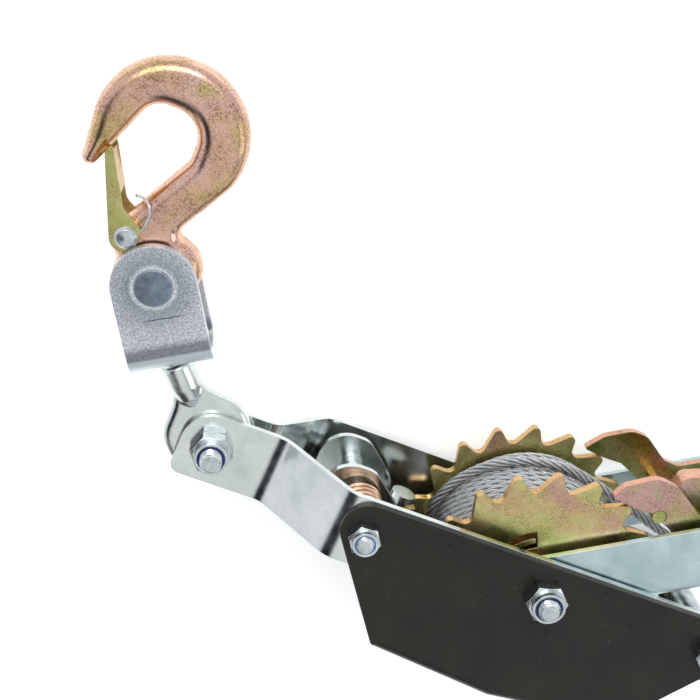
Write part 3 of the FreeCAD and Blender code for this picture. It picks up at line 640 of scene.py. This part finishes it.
def inside(points, loop):
    """True for the points within a closed outline."""
    hit = np.zeros(len(points), bool)
    nxt = np.roll(loop, -1, axis=0)
    for (ax, ay), (bx, by) in zip(loop, nxt):
        if ay == by:
            continue
        crosses = (points[:, 1] > ay) != (points[:, 1] > by)
        hit ^= crosses & (points[:, 0] < (bx - ax) * (points[:, 1] - ay) / (by - ay) + ax)
    return hit


def forging(loop, hole, half, roll, wall):
    """Points in millimetres and faces of a flat forging whose faces roll over towards its edge."""
    bore = np.array([(hole * math.cos(a), hole * math.sin(a)) for a in even_angles(64)])
    following = np.roll(loop, -1, axis=0) - np.roll(loop, 1, axis=0)
    inward = np.stack([-following[:, 1], following[:, 0]], axis=1)
    inward /= np.linalg.norm(inward, axis=1)[:, None]
    if not inside(loop[:1] + 0.3 * inward[:1], loop)[0]:
        inward = -inward
    # rings of points close to the edge, where the faces roll over, then a staggered grid
    inner = []
    for depth in (0.12, 0.4, 0.9, 1.6, 2.5):
        ring = loop + depth * inward
        keep = (edge_distance(ring, loop) > 0.93 * depth) & (np.linalg.norm(ring, axis=1) > hole + 0.6)
        inner.append(ring[keep])
    low, high = loop.min(axis=0), loop.max(axis=0)
    xs, ys = np.meshgrid(np.arange(low[0], high[0], 1.15), np.arange(low[1], high[1], 1.0))
    xs[1::2] += 0.57
    grid = np.stack([xs.ravel(), ys.ravel()], axis=1)
    grid = grid[inside(grid, loop)]
    grid = grid[(edge_distance(grid, loop) > 3.2) & (np.linalg.norm(grid, axis=1) > hole + 0.7)]
    flat = np.vstack([loop, bore, *inner, grid])
    count, holes = len(loop), len(bore)
    sides = [(i, (i + 1) % count) for i in range(count)]
    sides += [(count + i, count + (i + 1) % holes) for i in range(holes)]
    cut, _, triangles, *_ = delaunay_2d_cdt([Vector(q) for q in flat], sides, [], 0, 1e-6)
    flat = np.array([q[:] for q in cut])
    middle = np.array([flat[list(t)].mean(axis=0) for t in triangles])
    good = inside(middle, loop) & (np.linalg.norm(middle, axis=1) > hole * 0.998)
    triangles = [t for t, k in zip(triangles, good) if k]
    depth = np.clip(edge_distance(flat, loop) / roll, 0, 1)
    height = wall + (half - wall) * np.sqrt(1 - (1 - depth) ** 2)
    total = len(flat)
    points = np.vstack([np.column_stack([flat, height]), np.column_stack([flat, -height])])
    faces = [tuple(t) for t in triangles] + [tuple(i + total for i in t[::-1]) for t in triangles]
    faces += [(b, a, a + total, b + total) for a, b in sides]
    return points, faces


def face_outwards(mesh):
    """Turn every face of a closed mesh the same way out."""
    work = bmesh.new()
    work.from_mesh(mesh)
    bmesh.ops.recalc_face_normals(work, faces=work.faces)
    work.to_mesh(mesh)
    work.free()


def turned(points, turn, place):
    """Millimetres to metres, turned about Z and moved into place."""
    spin = np.array([[math.cos(turn), -math.sin(turn)], [math.sin(turn), math.cos(turn)]])
    points = np.asarray(points, float) * MM
    points[:, :2] = points[:, :2] @ spin.T
    return points + np.array(place)


def make_hook(name, hole, turn, place, body, material):
    points, faces = forging(rounded(HOOK_CORNERS, 0.9), hole, HOOK_HALF, HOOK_ROLL, HOOK_WALL)
    piece = mesh_object(name, turned(points, turn, place), faces, body, [body], material)
    face_outwards(piece.data)
    piece.data.set_sharp_from_angle(angle=math.radians(60))


def make_eye(material):
    """Forged eye: flat ring that swells into a round shank, with its neck and head inside the yoke.

    The ring and the turned shank overlap, so a voxel remesh makes one skin of them.
    """
    corners = [(-20, -20, 19.9), (-20, 20, 19.9), (13, 20, 15), (26, 8, 12), (33, 7.4, 1), (33, -7.4, 1),
               (26, -8, 12), (13, -20, 15)]
    points, faces = forging(rounded(corners, 0.9), 5.4, 4.1, 3.6, 0.8)
    profile = [(16, 0.5), (20, 3.4), (25, 6.2), (30, 7.4), (34, 7.6), (41.6, 7.6), (42.2, 7.0), (42.2, 5.4),
               (50.8, 5.4), (50.8, 8.8), (51.4, 9.3), (55.0, 9.3), (55.6, 8.8), (55.6, 0.5)]
    count = 40
    base = len(points)
    lathe = [(x, r * math.cos(a), r * math.sin(a)) for x, r in profile for a in even_angles(count)]
    faces += [tuple(base + i for i in face) for face in closed_rings(len(profile), count)]
    mesh = bpy.data.meshes.new("eye_rough")
    rough = turned(np.vstack([points, lathe]), EYE_TURN, (FRONT_X, 0.0, 0.0))
    mesh.from_pydata([tuple(q) for q in rough], [], faces)
    face_outwards(mesh)
    holder = bpy.data.objects.new("eye_rough", mesh)
    bpy.context.collection.objects.link(holder)
    whole = holder.modifiers.new("whole", "REMESH")
    whole.mode = "VOXEL"
    whole.voxel_size = 0.0005
    soft = holder.modifiers.new("soft", "SMOOTH")
    soft.iterations = 5
    done = bpy.data.meshes.new_from_object(holder.evaluated_get(bpy.context.evaluated_depsgraph_get()))
    bpy.data.objects.remove(holder)
    points = [v.co[:] for v in done.vertices]
    faces = [tuple(face.vertices) for face in done.polygons]
    mesh_object("swivel_eye_forged", points, faces, "swivel_eye", ["swivel_eye"], material)


def make_latch_spring(name, turn, place, body, node, material):
    """Wire leg that comes from the latch's rivet and laps over the hook's inner edge."""
    leg = [(-14.0, 16.5, 8.5), (-12.4, 21.0, 8.7), (-11.6, 26.0, 8.6), (-12.6, 30.2, 8.0), (-15.0, 32.0, 6.4),
           (-17.8, 32.2, 3.6), (-19.6, 31.0, 0.6)]
    wire = 0.0006
    line = route_line([tuple(q) for q in turned(leg, turn, place)], wire)
    make_spring(name, line, wire, body, node, material)


# ---------------------------------------------------------------- springs, bolts and grip
# shank radius, width across flats, head height and thread pitch
M8 = (0.004, 0.013, 0.0053, 0.00125)
M10 = (0.005, 0.017, 0.0064, 0.0015)
PAWL_WIRE = 0.0011                  # wire radii
DRIVE_WIRE = 0.0008


def coil(centre, low, high, radius, wire, turns, first_leg, legs):
    """Line of a close-wound spring about Z, with its two straight legs."""
    start = math.radians(first_leg) + math.pi / 2
    sweep = turns * 2 * math.pi
    angles = np.linspace(start, start + sweep, int(turns * 40))
    levels = np.linspace(low + wire, high - wire, len(angles))
    ring = [(centre[0] + radius * math.cos(a), centre[1] + radius * math.sin(a), z)
            for a, z in zip(angles, levels)]

    def leg(root, side, angle, length, shares):
        aim = (-side * math.sin(angle), side * math.cos(angle))
        return [(root[0] + aim[0] * length * t, root[1] + aim[1] * length * t, root[2]) for t in shares]

    tail = leg(ring[0], -1, start, legs[0], (1.0, 0.6, 0.3))
    lead = leg(ring[-1], 1, start + sweep, legs[1], (0.3, 0.6, 1.0))
    return np.array(tail + ring + lead)


def make_spring(name, line, wire, body, node, material):
    """Round wire of a given radius along a line."""
    line = evenly(line, 0.0012)
    angles = even_angles(12)
    radii = np.full((len(line), len(angles)), wire)
    points, faces = tube(line, radii, np.repeat(angles[None, :], len(line), axis=0))
    mesh_object(name, points, faces, body, [node], material)


def bolt_shape(x, head, end, thread_from, size):
    """Hexagon head below, shank, and a rolled thread up to a chamfered tip."""
    radius, flats, head_h, pitch = size
    tip = 0.0007
    angles = even_angles(48)
    round_ring = np.ones(len(angles))
    hexagon = flats / 2 / np.cos(off_sixth(angles))
    corner = flats / math.sqrt(3)
    rows = [(round_ring * flats * 0.40, head),
            (np.minimum(hexagon, flats * 0.475), head),
            (np.minimum(hexagon, corner * 0.985), head + 0.08 * head_h),
            (hexagon, head + 0.2 * head_h),
            (hexagon, head + head_h),
            (round_ring * radius, head + head_h),
            (round_ring * radius, thread_from)]
    step = pitch / 8
    for level in np.arange(thread_from + step, end - tip, step):
        phase = (level / pitch - angles / (2 * math.pi)) % 1.0
        tooth = np.abs(phase * 2 - 1)
        near_tip = np.clip((end - level) / (2 * tip), 0.3, 1.0)
        rows.append((radius - 0.62 * pitch * (1 - np.clip(tooth * 1.25, 0, 1)) * near_tip, level))
    rows += [(round_ring * radius * 0.86, end - tip), (round_ring * radius * 0.80, end)]
    points = [(x + r * math.cos(a), r * math.sin(a), level) for radii, level in rows
              for r, a in zip(radii, angles)]
    return points, closed_rings(len(rows), len(angles))


def make_bolts(name, node, material, size, thread_from, places):
    """Bolts of one size on the frame; places are (x, head end, tip end)."""
    points, faces = [], []
    for place in places:
        some, corners = bolt_shape(*place, thread_from, size)
        faces += [tuple(i + len(points) for i in face) for face in corners]
        points += some
    piece = mesh_object(name, points, faces, "frame", [node], material)
    piece.data.set_sharp_from_angle(angle=math.radians(38))


def make_grip(material):
    """Ribbed rubber sleeve, nearly square in section, with plain collars and rounded ends."""
    start, end = 0.282, 0.403
    half_w, half_h = 0.0185, 0.0195
    lip, cap = 0.0015, 0.009
    ribs_from, ribs_to, rib_pitch, rib_depth = 0.012, 0.016, 0.0062, 0.0011
    squareness = 6.0
    stations = 170
    angles = even_angles(64)
    powers = np.abs(np.cos(angles)) ** squareness + np.abs(np.sin(angles)) ** squareness
    outline = powers ** (-1 / squareness)
    cosine, sine = math.cos(HANDLE_TURN), math.sin(HANDLE_TURN)
    points = []
    for along in np.linspace(start, end, stations):
        from_end = end - along
        from_start = along - start
        size, rib = 1.0, 0.0
        if from_end < cap:
            size = 0.62 + 0.38 * math.sqrt(1 - (1 - from_end / cap) ** 2)
        if from_start < lip:
            size = 0.93 + 0.07 * math.sqrt(1 - (1 - from_start / lip) ** 2)
        if from_start > ribs_from and from_end > ribs_to:
            rib = rib_depth * (0.5 - 0.5 * math.cos(2 * math.pi * from_start / rib_pitch)) ** 0.6
        for a, o in zip(angles, outline):
            across = (half_w - rib) * size * o * math.sin(a)
            above = (half_h - rib) * size * o * math.cos(a)
            points.append((along * cosine - above * sine, along * sine + above * cosine, across))
    mesh_object("handle_grip_ribs", points, closed_rings(stations, len(angles)), "handle",
                ["handle_grip"], material)


# ---------------------------------------------------------------- floor, world and light
def make_floor():
    """White paper floor just under the part, wide enough to have no edge in view."""
    far = 15
    points = [(x, y, FLOOR_LEVEL) for x, y in ((-far, -far), (far, -far), (far, far), (-far, far))]
    mesh = bpy.data.meshes.new("floor")
    mesh.from_pydata(points, [], [(0, 1, 2, 3)])
    material, tree, shader = surface("floor_paper", 0.0, Roughness=0.9)
    place = add(tree, "TexCoord").outputs["Object"]
    mottle = noise(tree, place, 40.0, 3.0)
    paper = ramp(tree, mottle, [(0.3, (0.90, 0.90, 0.90)), (0.7, (0.93, 0.93, 0.93))])
    tree.links.new(paper, shader.inputs["Base Color"])
    shader.inputs["Emission Color"].default_value = (*WHITE, 1.0)
    shader.inputs["Emission Strength"].default_value = 0.45
    mesh.materials.append(material)
    floor = bpy.data.objects.new("floor", mesh)
    bpy.context.collection.objects.link(floor)


def toward(tree, place, aim, inner, outer):
    """1 near a direction of the sky, 0 away from it; inner and outer in degrees."""
    length = math.sqrt(sum(c * c for c in aim))
    dot = calculate(tree, "VectorMath", "DOT_PRODUCT", place, [c / length for c in aim])
    far, near = math.cos(math.radians(outer)), math.cos(math.radians(inner))
    return add(tree, "MapRange", {"interpolation_type": "SMOOTHSTEP"}, Value=dot,
               From_Min=far, From_Max=near).outputs["Result"]


def make_world():
    """Even studio dome, darker below, with three dark flags for the metal to reflect."""
    world = bpy.data.worlds.new("studio")
    world.use_nodes = True
    tree = world.node_tree
    sky = tree.nodes["Background"]
    raw = add(tree, "TexCoord").outputs["Generated"]
    place = add(tree, "VectorMath", {"operation": "NORMALIZE"}, Vector=raw).outputs["Vector"]
    parts = add(tree, "SeparateXYZ", Vector=place)
    tone = ramp(tree, spread(tree, parts.outputs["Z"], 0.0, 1.0, -1.0, 1.0),
                [(0.48, (0.60, 0.61, 0.62)), (0.60, (0.88, 0.89, 0.94)), (0.72, (0.80, 0.81, 0.86)),
                 (0.90, (0.80, 0.83, 0.83)), (1.0, (0.86, 0.89, 0.88))])
    flags = (((-0.42, -0.42, 0.80), 13.0, 27.0, (0.01, 0.01, 0.02, 1.0)),
             ((0.75, 0.10, 0.55), 8.0, 30.0, (0.10, 0.13, 0.15, 1.0)),
             ((0.0, -0.85, 0.35), 10.0, 34.0, (0.06, 0.06, 0.06, 1.0)))
    for aim, inner, outer, shade in flags:
        tone = blend(tree, toward(tree, place, aim, inner, outer), tone, shade)
    tree.links.new(tone, sky.inputs["Color"])
    sky.inputs["Strength"].default_value = 1.0
    bpy.context.scene.world = world


def softbox(name, place, size, power, tint=WHITE):
    """Rectangular lamp aimed at the drum."""
    data = bpy.data.lights.new(name, "AREA")
    data.shape = "RECTANGLE"
    data.size, data.size_y = size
    data.energy = power
    data.color = tint
    lamp = bpy.data.objects.new(name, data)
    lamp.location = place
    lamp.rotation_euler = (-lamp.location).to_track_quat("-Z", "Y").to_euler()
    bpy.context.collection.objects.link(lamp)


def make_lights():
    softbox("key", (-0.55, 0.85, 1.15), (1.0, 0.6), 6.5)
    softbox("fill", (1.1, 0.3, 0.9), (0.7, 0.9), 3.0, (0.97, 0.98, 1.0))


def finish_cad(materials):
    """Give every CAD node the finish of its slot, or a finish of its own where the photo shows one."""
    own = {"yoke": "yoke_zinc", "yoke_rivet": "rivet_zinc", "drive_pawl": "lever_zinc"}
    for part in frame["record"]["subparts"]:
        node = frame["nodes"][part["node"]]
        finish = materials[own.get(part["node"], part["material_slot"])]
        for slot in node.material_slots:
            slot.material = finish


# ---------------------------------------------------------------- put together
make_camera()
materials = make_materials()
zinc, pink = materials["bright_zinc"], materials["pink_zinc"]
rope, wire = materials["galvanised_rope"], materials["spring_wire"]
load_eye = tuple(RUN_START[i] + LOAD_EYE_AT * RUN_AIM[i] for i in range(2)) + (LOOP_LEVEL,)
make_hook("anchor_hook_forged", 7.55, 0.0, ANCHOR_EYE, "anchor_hook", pink)
make_latch_spring("anchor_latch_wire", 0.0, ANCHOR_EYE, "anchor_hook", "anchor_latch_spring", zinc)
make_hook("load_hook_forged", 9.0, LOAD_HOOK_TURN, load_eye, "load_hook", pink)
make_latch_spring("load_latch_wire", LOAD_HOOK_TURN, load_eye, "load_hook", "load_latch_spring", zinc)
make_eye(materials["zinc_plate"])
make_loop(rope)
make_run(rope)
make_winding(rope)
finish_cad(materials)
pawl_coil = coil((PAWL_X, 0.0), 0.0082, 0.0300, 0.0099, PAWL_WIRE, 5.2, 200, (0.009, 0.008))
make_spring("pawl_spring_coil", pawl_coil, PAWL_WIRE, "frame", "holding_pawl_spring", wire)
drive_coil = coil((0.0710, 0.0449), -0.0200, -0.0060, 0.0064, DRIVE_WIRE, 6.4, 0, (0.005, 0.005))
make_spring("drive_spring_coil", drive_coil, DRIVE_WIRE, "handle", "drive_pawl_spring", wire)
make_bolts("front_bolt_threaded", "front_bolt", zinc, M10, 0.004, [(FRONT_X, -0.0138, 0.0219)])
make_bolts("axle_bolt_threaded", "axle_bolt", zinc, M10, 0.034, [(0.0, -0.0461, 0.0527)])
make_bolts("frame_bolts_threaded", "frame_bolts", zinc, M8, 0.034,
           [(x, -0.045, 0.0492) for x in (PAWL_X, REAR_X)])
make_grip(materials["grip_rubber"])
make_floor()
make_world()
make_lights()
bpy.context.scene.view_settings.view_transform = "Standard"
